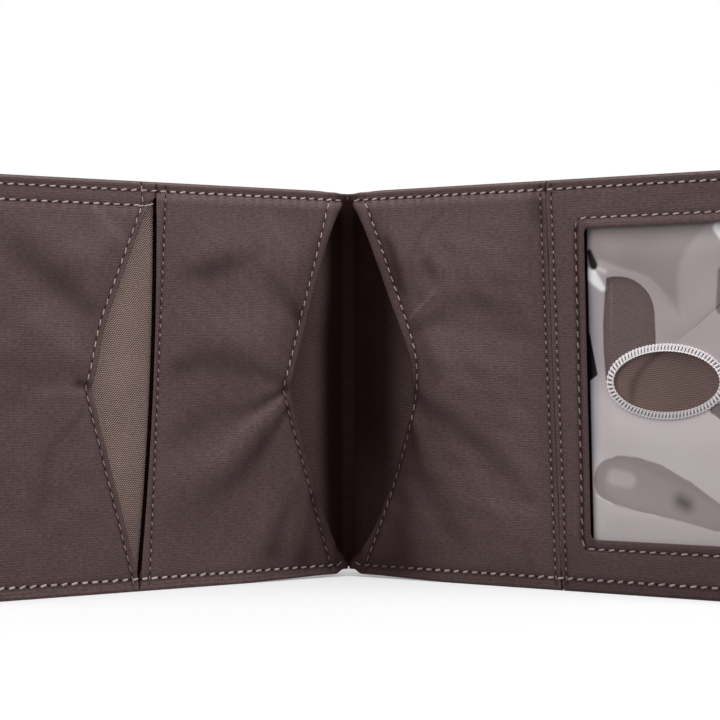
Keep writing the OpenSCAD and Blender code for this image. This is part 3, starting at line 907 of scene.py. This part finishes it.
pocket_pieces, pocket_front, pocket_tone = {}, {}, {}
for name, spec in pockets.items():
    front, back = pocket_faces(spec)
    tone = painted_tone(**{key: spec[key] for key in ("painted_shading", "folds", "lip", "mouth_dark", "glow", "upper")})
    pocket = sewn_cloth(name + "_face", spec["side"], spec["lip"], spec["far"], front, back, pocket_nylon,
                        step=0.5, roll=0.55, shade=painted_tone_and_row_shade(tone, spec["rows"]))
    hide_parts(name)
    pocket_pieces[name], pocket_front[name], pocket_tone[name] = pocket, front, tone

# Card window
# The card pocket has a sheet of clear vinyl behind a nylon frame. The vinyl is loose and wavy. Its colour
# carries a painted reflection, a milky veil with glints that is left out where it lies on the twill, and
# painted shadows.

window_low, window_high = 11.4, 83.6
window_near, window_right = 63.9, 101.7
window_r = 1.6
frame_side_w = (8.05, 9.95)
vinyl_lap = 3.4
hole_a, hole_b, hole_u, hole_z = 12.98, 6.9, 82.72, 47.97
rim_in = 0.6
vinyl_d, vinyl_t = 2.255, 0.25
vinyl_stand, vinyl_run = 0.42, 7.0
dents = [
    [(74, 68, 6, -0.4), (74, 53, 6, -0.35)], [(70, 26, 5, -0.35), (96, 18, 5, -0.3)],
    [(66, 72, 4, 0.3), (70, 78, 4, 0.2)], [(88, 60, 4, 0.35), (97, 67, 4, 0.3)],
    [(84, 76, 6, 0.25), (96, 80, 6, 0.2)], [(70, 37, 6, 0.35), (92, 34, 6, 0.3)],
]


def window_left(z):
    return right_seam(z) + slanted(frame_side_w, z)


def into_window(u, z):
    """How far a place lies inside the window's four sides."""
    return np.stack([u - window_left(z), window_right - u, z - window_low, window_high - z])


def window_path(grow, count=36):
    """Points round the window's outline, grown outwards, the same number on every side, corners rounded."""
    low, high, right = window_low - grow, window_high + grow, window_right + grow
    corner = max(window_r + grow * 0.4, 0.3)
    corners = np.array([(window_left(low) - grow, low), (right, low), (right, high),
                        (window_left(high) - grow, high)])
    path = []
    for before, here, after in zip(np.roll(corners, 1, 0), corners, np.roll(corners, -1, 0)):
        into = (before - here) / np.hypot(*(before - here)) * corner
        away = (after - here) / np.hypot(*(after - here)) * corner
        path += [here + into * (1 - t) ** 2 + away * t**2 for t in np.linspace(0, 1, 7)]
        leg = after - here - 2 * away
        path += [here + away + leg * t for t in np.linspace(0, 1, count + 2)[1:-1]]
    return np.array(path)


def vinyl_middle(u, z):
    """The loose vinyl stands off its flat place, more or less, inside its sewn edges."""
    wave = (vinyl_stand + creases(u, z, dents)) * smooth(into_window(u, z).min(0) / vinyl_run)
    return vinyl_d + wave


# Shapes of the painted reflection and shade in the vinyl, as bent lines of places with a radius and a
# softness.
vinyl_shapes = {
    "clear_patch": [(70.4, 62.6, 9.6, 0.2), (70.8, 50.0, 9.7, 0.2)],
    "clear_corner": [(98.2, 72.0, 3.0, 0.4), (96.9, 64.6, 2.0, 0.4)],
    "clear_by_hole": [(98.6, 41.2, 3.2, 0.3), (94.4, 41.8, 1.3, 0.3)],
    "streak": [(69.2, 70.5, 0.1, 0.2), (69.2, 57.0, 0.05, 0.2)],
    "fold": [(69.7, 25.1, 5.1, 0.25), (72.2, 25.0, 6.0, 0.25), (75.0, 24.7, 6.2, 0.25),
             (79.1, 23.7, 5.95, 0.25), (86.0, 21.3, 4.75, 0.25), (94.6, 17.7, 3.0, 0.25)],
    "fold_inner": [(72.2, 25.0, 5.0, 0.9), (94.0, 17.6, 2.8, 0.9)],
    "fold_light": [(70.0, 25.8, 1.9, 0.9), (73.0, 25.4, 2.0, 0.9)],
    "fold_dark": [(86.0, 20.9, 1.1, 2.3), (87.4, 20.2, 1.1, 2.3)],
    "fold_highlight_line": [(65.0, 21.7, 0.2, 0.25), (69.0, 19.8, 0.14, 0.25), (81.0, 17.1, 0.0, 0.25)],
    "crest_highlight": [(66.2, 75.6, 0.7, 0.5), (78.5, 71.6, 0.35, 0.4), (83.0, 67.0, 0.1, 0.4)],
    "glint": [(63.9, 72.8, 1.5, 0.8), (67.0, 69.6, 0.6, 0.8)],
    "faint_glint": [(65.2, 74.3, 0.5, 0.9), (67.6, 73.4, 0.4, 0.9)],
    "corner_glint": [(95.4, 82.6, 1.3, 0.7), (97.2, 80.6, 1.4, 0.7)],
    "dark_reflection_line": [(96.0, 65.2, 0.1, 0.2), (91.5, 61.8, 0.08, 0.2), (86.0, 57.6, 0.0, 0.2)],
}
painted_dark_spot = [(63.4, 78.0, 0.7, 0.45), (64.6, 74.9, 1.05, 0.45)]


def seen_shape(finish, u, z, line):
    """1 inside a bent line of places with a radius, 0 outside it."""
    legs = []
    for (u1, z1, first_r, soft), (u2, z2, last_r, _) in zip(line[:-1], line[1:]):
        du, dz = u2 - u1, z2 - z1
        from_u, from_z = u - u1, z - z1
        share = finish.node("ShaderNodeMapRange", values={
            "Value": from_u * du + from_z * dz, "From Min": 0.0, "From Max": du * du + dz * dz})
        off_u, off_z = from_u - share * du, from_z - share * dz
        away = (off_u * off_u + off_z * off_z) ** 0.5 - share * (last_r - first_r)
        legs.append(finish.step(away, first_r + soft, first_r - soft))
    return finish.most(*legs)


def vinyl_finish(name):
    """Clear vinyl with a painted reflection: a milky veil with glints, left out where it lies on the lining,
    and painted dark marks.
    """
    vinyl = material(name)
    step, most = vinyl.step, vinyl.most
    place, along, up = vinyl.flat_place()
    drift = vinyl.patches(place, 12.0, detail=1.0) - 0.5
    sway = vinyl.patches(place, 9.0, detail=1.0) - 0.5
    u, z = along + drift * 0.8, up + sway * 0.8
    # Painted reflection and shade: these shapes paint the veil's highlights and glints, clear places where
    # the veil is left out, and dark marks.
    seen = {shape: seen_shape(vinyl, u, z, line) for shape, line in vinyl_shapes.items()}
    waist = z - 58.7
    patch = seen["clear_patch"] * step(u - waist * waist * 0.005, 66.9, 67.4) * step(z, 47.6, 48.6)
    lies_on_unreflected = most(patch, seen["clear_corner"] * 0.75, seen["clear_by_hole"] * 0.9)
    glint = most(seen["glint"], seen["faint_glint"] * 0.45, seen["corner_glint"])
    # Painted shadow and dark reflection: a dark wedge, a dark strip along the frame's left edge and a dark
    # spot.
    wedge = step((61.8 - up) * 0.211 - along, -63.1, -62.8) * step(up - along * 0.737, 1.0, 1.4)
    frame_edge_shadow = step(along - 64.5 + up * 0.0221, 0.4, 0.05)
    under = most(frame_edge_shadow, seen_shape(vinyl, along, up, painted_dark_spot), wedge)
    # Painted reflection: brighter and dimmer zones of the veil, and a cool tint towards the left.
    bright = step(z - u * 0.76, -7.4, -8.0) * step(u, 84.0, 87.0) * step(z, 44.0, 50.0)
    above = most(z - 70.0, 0.0)
    under_crest = step(u * 0.325 + z, 98.2, 96.2) * step(u * 1.02 + z, 153.6, 149.8)
    swath = most(step(u - above * above * 0.04, 84.4, 86.8), under_crest)
    lower = step(z + drift * 3, 53.0, 42.0)
    deep = step(z, 27.0, 14.0)
    cool = step(u, 66.8, 64.4) * step(z, 74.0, 66.0) * step(z, 26.0, 34.0)
    haze_and_reflection = lower * 0.3 - deep * 0.09 + bright * 0.1 + swath * 0.14 + drift * 0.1 + 0.265
    haze_and_reflection = (haze_and_reflection + seen["crest_highlight"] * 0.08) * (1 - lies_on_unreflected * 0.95) * (1 - cool * 0.12)
    haze_and_reflection = haze_and_reflection - seen["dark_reflection_line"] * 0.26 + seen["streak"] * 0.1
    haze_and_reflection = haze_and_reflection * (1 - seen["fold"] * 0.62) + seen["fold_inner"] * 0.05 + seen["fold_light"] * 0.2
    haze_and_reflection = most(haze_and_reflection + seen["fold_highlight_line"] * 0.25 + glint * 0.8, 0.01)
    body = haze_and_reflection + (1 - haze_and_reflection) * (0.66 - lies_on_unreflected * 0.44)
    # Painted shade: under the binding the vinyl is painted grey, so the gaps between its wraps look dark.
    off_u, off_z = (along - hole_u) / (hole_a + binding_w), (up - hole_z) / (hole_b + binding_w)
    wrap_gap_shade = step(off_u * off_u + off_z * off_z, 1.0, 0.96)
    dark = most(under, seen["fold_dark"] * 0.75)
    # The colour takes the painted cool tint and glints, the twill's colour where the veil is thin, and the
    # painted dark marks.
    colour = vinyl.tint(cool, srgb(236, 226, 227), srgb(218, 216, 226))
    colour = vinyl.tint(glint, colour, srgb(254, 253, 254))
    colour = vinyl.tint(haze_and_reflection / body, srgb(126, 108, 107), colour)
    colour = vinyl.tint(wrap_gap_shade, colour, srgb(130, 114, 115))
    return vinyl.surface({
        "Base Color": vinyl.tint(dark, colour, srgb(20, 15, 17)), "Roughness": sway * 0.1 + 0.35, "IOR": 1.45,
        "Alpha": most(body, dark * 0.97, wrap_gap_shade * 0.92), "Specular IOR Level": 0.12})


def ring_cloth(name, inner, outer, steps, front, back, finish, roll, shade=None):
    """A cloth of the right half between two outlines that have the same number of points."""
    flat = inner + (outer - inner) * steps[:, None, None]
    edge = np.minimum(steps, 1 - steps)[:, None] * np.hypot(*(outer - inner).T)
    rim = np.zeros(flat.shape[:2], bool)
    rim[[0, -1]] = True
    return ply(name, 1, flat[..., 0], flat[..., 1], edge, roll, rim, front, back, finish, shade, closed=True)


def round_hole(way, grow=0.0):
    """Points of the thumb hole's oval, or of one that is larger all round."""
    return np.stack([hole_u + (hole_a + grow) * np.cos(way), hole_z + (hole_b + grow) * np.sin(way)], -1)


binding_w = 1.7
vinyl_edge = window_path(vinyl_lap)
edge_u, edge_z = vinyl_edge.T
edge_way = np.arctan2((edge_z - hole_z) / (hole_b + rim_in), (edge_u - hole_u) / (hole_a + rim_in))
vinyl_steps = np.concatenate([[0, 0.004, 0.012], np.linspace(0.02, 0.98, 44), [0.988, 0.996, 1.0]])
vinyl = ring_cloth("id_window_vinyl", round_hole(edge_way, rim_in), vinyl_edge, vinyl_steps,
                   *plies(vinyl_middle, vinyl_t), vinyl_finish("clear_vinyl"), 0.12)
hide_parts("id_window")
flattens(vinyl, 1)

# Thumb hole binding
# The vinyl's oval hole is overlocked with a white thread: close wraps go round the cut edge and lie side by
# side all the way round, held by a chain of loops along each side.

wraps = 78
wrap_r, wrap_broad_r, chain_r = 0.23, 0.285, 0.13
wrap_in, wrap_h, chain_h = 0.24, 0.3, 0.34
# Painted light: the white thread glows a little, standing in for brighter light on it.
white_thread = thread_finish("white_binding_thread", srgb(255, 251, 252), srgb(247, 240, 242), glow=0.2)


def off_hole(way, reach, lift=0.0):
    """A point this far out from the edge of the hole, and in front of the vinyl's middle."""
    normal = np.stack([np.cos(way) * hole_b, np.sin(way) * hole_a], -1)
    normal /= np.hypot(*normal.T)[:, None]
    u, z = (round_hole(way) + normal * np.reshape(reach, (-1, 1))).T
    return on_half(1, u, vinyl_middle(u, z) + lift, z)


def thread_tube(middle, out, thick, broad):
    """Rings of a thread along a line, with its run, its way round and a painted shade: darker at its sides
    and on the lower part of the hole."""
    ahead = np.gradient(middle, axis=0)
    ahead /= np.linalg.norm(ahead, axis=1)[:, None]
    out = out - ahead * np.sum(out * ahead, 1)[:, None]
    out /= np.linalg.norm(out, axis=1)[:, None]
    third = np.cross(ahead, out)
    around = np.linspace(0, 2 * math.pi, 9)[:-1]
    rings = middle[:, None] + (thick * np.cos(around)[:, None] * out[:, None]
                               + broad * np.sin(around)[:, None] * third[:, None]) / 1000
    run = np.concatenate([[0], np.cumsum(np.linalg.norm(np.diff(middle, axis=0), axis=1))]) * 1000
    height = np.clip((rings[..., 2] * 1000 - lower_band - hole_z) / hole_b, -1, 1)
    return rings, run, around, (1 - 0.2 * np.abs(np.sin(around)) ** 6) * (0.8 + 0.2 * height)


def overlock():
    """The wraps round the cut edge, and the two chains of loops that they make inside and outside."""
    turn = np.linspace(0, 2 * math.pi, 721)
    run = np.cumsum(np.hypot(hole_a * np.sin(turn), hole_b * np.cos(turn)))
    roll = np.linspace(0, 2 * math.pi * wraps, wraps * 14 + 1)
    way = np.interp(roll / roll[-1], (run - run[0]) / (run[-1] - run[0]), turn)
    middle = off_hole(way, binding_w / 2 + (binding_w / 2 - wrap_in) * np.cos(roll), wrap_h * np.sin(roll))
    core = off_hole(way, np.full_like(way, binding_w / 2))
    tubes = [thread_tube(middle, middle - core, wrap_r, wrap_broad_r)]
    for reach, sway in ((0.12, 0.07), (binding_w - 0.15, 0.13)):
        place = way[::2], reach + sway * np.cos(roll[::2])
        chain = off_hole(*place, chain_h + 0.06 * np.sin(roll[::2]))
        tubes.append(thread_tube(chain, off_hole(*place, 1.0) - off_hole(*place), chain_r, chain_r))
    return tubes


binding = thread_object("thumb_hole_binding_thread", overlock(), white_thread)
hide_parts("thumb_hole_binding")
flattens(binding, 1)

# Window frame
# A nylon panel with the window cut out of it. Its cut edge is raised like a hem, has a row of its own and
# stands in front of the vinyl. Its upper and lower edges are sewn to the lining like the pockets'.

window_row_out = 2.3
window_row = window_path(window_row_out)
window_row = np.concatenate([window_row, window_row[:1]])
frame_rows = level_rows + [right_seam_rows[1], window_row[::4]]
# Painted shade on the frame: darker along its lower part and its upper edge, beside the seam, along the
# window's left hem and along its lower edge.
frame_painted_shading = [
    [(58, 4, 9, 0.3), (113, 4, 9, 0.3)], [(60, 91, 8, 0.08), (113, 91, 8, 0.08)],
    [(59.5, 12, 4.5, 0.1), (57.5, 84, 4.5, 0.1)], [(64.6, 11, 1.1, 0.3), (63.0, 84, 1.1, 0.3)],
    [(62.2, 11, 0.8, 0.45), (60.5, 84, 0.8, 0.45)], [(58, 0.6, 1.4, 0.2), (113, 0.6, 1.4, 0.2)],
]
frame_tone = painted_tone(frame_painted_shading)


def frame_outer(window):
    """Points round the panel, one for each point of the window's outline, on the side that is closest."""
    u, z = window.T
    gaps = into_window(u, z)
    closest = gaps.argmin(0)
    share_u = np.clip(gaps[0] / (window_right - window_left(z)), 0, 1)
    level = tall * np.clip(gaps[2] / (window_high - window_low), 0, 1)
    z = np.choose(closest, [level, level, 0.0, tall])
    near = right_far(z)
    across = near + (half_w - corner_r - near) * share_u
    return np.stack([np.choose(closest, [near, outer_end(z), across, across]), z], -1)


def frame_front(u, z):
    """Front depth of the panel: thicker at the window's hem, and faintly uneven between its rows."""
    from_window = -into_window(u, z).min(0)
    hem = 0.45 * (1 - smooth((from_window - 1.0) / 1.4))
    loose = np.clip((from_window - 3.0) / 3.0, 0, 1) * np.clip(np.minimum(z - 3.0, 92.0 - z) / 4.0, 0, 1)
    uneven = swells(u, z, 31, 0.14) * loose + top_puckers(u, z, upper_z)
    return face_d + hem + uneven + sewn_in(u, z, frame_rows)


window_edge = window_path(0.0, 110)
frame_steps = crowded(10.0, 0.45) / 10.0
id_frame = ring_cloth("id_frame_panel", window_edge, frame_outer(window_edge), frame_steps, frame_front,
                      lambda u, z: free_back(frame_front(u, z), z, face_t), pocket_nylon, 0.5,
                      painted_tone_and_row_shade(frame_tone, frame_rows))
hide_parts("id_frame")
flattens(id_frame, 1)

# Inside stitches
# Lockstitch rows in the same pale thread: borders, the second upper row, the notched mouths, the seams
# between pockets and the row round the window. They lie on the face that they sew.


def across_seam(seam, near, far):
    """The inner pocket's value on the spine's side of a seam, and the outer one's beyond it."""
    return lambda u, z: np.where(u < seam(z), near(u, z), far(u, z))


faces = {
    -1: across_seam(left_seam, pocket_front["left_inner_pocket"], pocket_front["left_outer_pocket"]),
    1: across_seam(right_seam, pocket_front["right_inner_pocket"], frame_front),
}
tones = {
    -1: across_seam(left_seam, pocket_tone["left_inner_pocket"], pocket_tone["left_outer_pocket"]),
    1: across_seam(right_seam, pocket_tone["right_inner_pocket"], frame_tone),
}
# pale scales the brightness painted on a row's stitches, and pit the size of their black tubes, painted shade
# of the needle holes.
broad = dict(askew=9.0, girth=0.22, pit=1.1)
close = dict(askew=7.0, reach=0.36, girth=0.17, pale=1.15)
sunk = dict(askew=14.0, pitch=2.1, reach=0.24, girth=0.18, pale=0.68, pit=1.25)
lip_low, lip_high = 2.6, 92.6
tack_u = left_outer_lip(89.0) + 1.2
left_tacks = [[(tack_u, 89.6), (tack_u + 0.4, 94.5)], [(tack_u - 3.0, 89.9), (tack_u + 1.6, 89.2)]]
inside_rows = {
    "left_border": (-1, [border_path(-1.0)], broad),
    "left_second": (-1, [second_row], broad),
    "left_inner_lip": (-1, [lip_row(left_inner_notch, lip_in, lip_low, lip_high)], dict(close, lower_shade=0.4)),
    "left_outer_lip": (-1, [lip_row(left_outer_lip, outer_lip_in, 0.7, 89.4)] + left_tacks,
                       dict(close, pale=1.0, lower_shade=0.35)),
    "left_seam": (-1, [left_seam_row], sunk),
    "right_border": (1, [border_path(-1.0)], broad),
    "right_inner_lip": (1, [lip_row(right_inner_notch, rolled_lip_in, lip_low, lip_high)], close),
    "right_seam": (1, right_seam_rows, sunk),
    "window": (1, [window_row], broad),
}
for number, (name, (side, rows, look)) in enumerate(inside_rows.items()):
    surface = frame_front if name == "window" else faces[side]
    row = stitches(name + "_thread", side, rows, surface, 40 + number, tone=tones[side], **look)
    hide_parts(name + "_stitches")
    flattens(row, side)

pocket_sheets = {
    "left_inner_pocket": ((0.0545, 0.095), 0.00435, ["left_inner_lip", "left_seam"]),
    "left_outer_pocket": ((0.0620, 0.095), 0.00505, ["left_border", "left_second", "left_outer_lip"]),
    "right_inner_pocket": ((0.0560, 0.095), 0.00430, ["right_inner_lip", "right_seam"]),
}
for name, (flat_size, cut_area, sewn_rows) in pocket_sheets.items():
    flattens(pocket_pieces[name], pockets[name]["side"])

# Table, lights and camera
# A plain white table in a light tent: two large soft boxes at the sides, one above, and a level camera in
# front of the open wallet.


def seen_white(finish):
    """1 for what the camera sees, straight, by gloss or through clear vinyl, and 0 for light that bounces."""
    rays = ("Is Camera Ray", "Is Glossy Ray", "Is Transmission Ray")
    return finish.most(*(finish.node("ShaderNodeLightPath", out=ray) for ray in rays))


def white_table():
    """White to the camera, with the soft contact shade of what stands on it."""
    table = material("white_table")
    table.nodes.remove(table.nodes["Principled BSDF"])
    plain = table.node("ShaderNodeBsdfDiffuse", values={"Color": (0.32, 0.315, 0.33, 1)})
    shaded = table.node("ShaderNodeBsdfDiffuse", values={"Color": (0.68, 0.675, 0.685, 1)})
    glow = table.node("ShaderNodeEmission", values={"Color": (1, 1, 1, 1), "Strength": 0.3})
    white = table.node("ShaderNodeAddShader", values={0: shaded, 1: glow})
    both = table.node("ShaderNodeMixShader", values={0: seen_white(table), 1: plain, 2: white})
    table.feed(table.nodes["Material Output"].inputs, {"Surface": both})
    return table.owner


table_half = 3.0
table_mesh = bpy.data.meshes.new("table")
table_corners = [(x * table_half, y * table_half, 0) for x, y in ((-1, -1), (1, -1), (1, 1), (-1, 1))]
table_mesh.from_pydata(table_corners, [], [(0, 1, 2, 3)])
table_mesh.materials.append(white_table())
table_top = bpy.data.objects.new("table", table_mesh)
bpy.context.collection.objects.link(table_top)

tent = Finish(bpy.data.worlds.new("tent"))
bpy.context.scene.world = tent.owner
dim = tent.node("ShaderNodeBackground", values={"Color": (1, 1, 1, 1), "Strength": 0.18})
white = tent.node("ShaderNodeBackground", values={"Color": (1, 1, 1, 1), "Strength": 1.0})
tent_light = tent.node("ShaderNodeMixShader", values={0: seen_white(tent), 1: dim, 2: white})
tent.feed(tent.nodes["World Output"].inputs, {"Surface": tent_light})


def soft_box(name, place, size, radiance):
    """A soft box at a place (mm), turned to the wallet, of a size (mm) and a brightness where 1 is white."""
    light = bpy.data.lights.new(name, "AREA")
    light.shape = "RECTANGLE"
    light.size, light.size_y = size[0] / 1000, size[1] / 1000
    light.energy = radiance * math.pi * light.size * light.size_y
    lamp = bpy.data.objects.new(name, light)
    lamp.location = Vector(place) / 1000
    lamp.rotation_euler = (Vector((0, 0, 60)) - Vector(place)).to_track_quat("-Z", "Y").to_euler()
    bpy.context.collection.objects.link(lamp)


soft_box("left_box", (-600, -335, 420), (480, 620), 2.8)
soft_box("right_box", (600, -335, 420), (480, 620), 2.8)
soft_box("top_box", (0, -300, 760), (800, 420), 3.6)

camera = bpy.data.cameras.new("camera")
camera.lens, camera.sensor_width = 95.0, 36.0
camera.clip_start = 0.01
viewpoint = bpy.data.objects.new("camera", camera)
viewpoint.location = (0.0030, -0.44714, 0.0541)
viewpoint.rotation_euler = (math.pi / 2, 0.003, 0)
bpy.context.collection.objects.link(viewpoint)
bpy.context.scene.camera = viewpoint
bpy.context.scene.view_settings.view_transform = "Standard"
